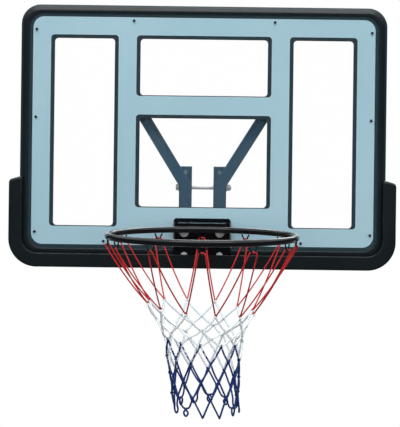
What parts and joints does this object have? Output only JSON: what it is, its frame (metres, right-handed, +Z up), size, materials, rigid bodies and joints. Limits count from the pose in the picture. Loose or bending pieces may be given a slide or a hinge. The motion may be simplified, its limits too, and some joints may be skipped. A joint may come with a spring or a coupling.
{
  "type": "basketball backboard",
  "caption": "Clear framed basketball backboard with a blue-grey windowed print, lower bumper guard, sprung tipping rim, tricolour net and rear mounting bars.",
  "frame": {"origin": "centre of the four mounting holes, on the rear faces of the two mounting bars", "axes": "+X to the right as a player sees the board, +Y out of the back of the board, +Z up"},
  "size_m": [1.0954, 0.695, 1.0612],
  "materials": {
    "frame_black": "moulded black plastic, fine satin grain",
    "clear_sheet": "clear polycarbonate sheet, glossy",
    "mask_blue": "blue-grey printed film behind the clear sheet",
    "guard_black": "moulded black plastic, satin",
    "screw_black": "black coated steel screws",
    "rim_black": "black powder coated steel",
    "strut_slate": "slate grey painted steel tube",
    "zinc": "zinc plated fasteners",
    "spring_steel": "oiled spring wire",
    "cord_red": "braided red cord",
    "cord_white": "braided white cord",
    "cord_blue": "braided blue cord"
  },
  "bodies": {
    "board": {"backboard_frame": "frame_black", "clear_panel": "clear_sheet", "printed_mask": "mask_blue", "panel_screws": "screw_black", "bumper_guard": "guard_black", "rim_base": "rim_black", "hinge_pin": "zinc", "hinge_clips": "zinc", "rim_springs": "spring_steel", "spring_bolts": "zinc", "spring_washers": "zinc", "spring_nuts": "zinc", "rim_lower_bolts": "zinc", "rim_washers": "zinc", "rim_nuts": "zinc", "left_strut": "strut_slate", "right_strut": "strut_slate", "left_mount_bar": "strut_slate", "right_mount_bar": "strut_slate", "strut_screws": "zinc", "strut_washers": "zinc", "tie_bolt": "zinc", "tie_nut": "zinc", "tie_washers": "zinc"},
    "rim": {"rim_carrier": "rim_black", "rim_ring": "rim_black", "net_hooks": "rim_black", "net_red": "cord_red", "net_white": "cord_white", "net_blue": "cord_blue"}
  },
  "joints": [
    {"name": "rim_tip", "type": "hinge", "parent": "board", "child": "rim", "pos_m": [0, -0.112, -0.104], "axis": [1, 0, 0], "range_deg": [0, 15], "stiffness_Nm_per_rad": 53, "springref_deg": -30.94, "deforming": ["rim_springs"]}
  ]
}
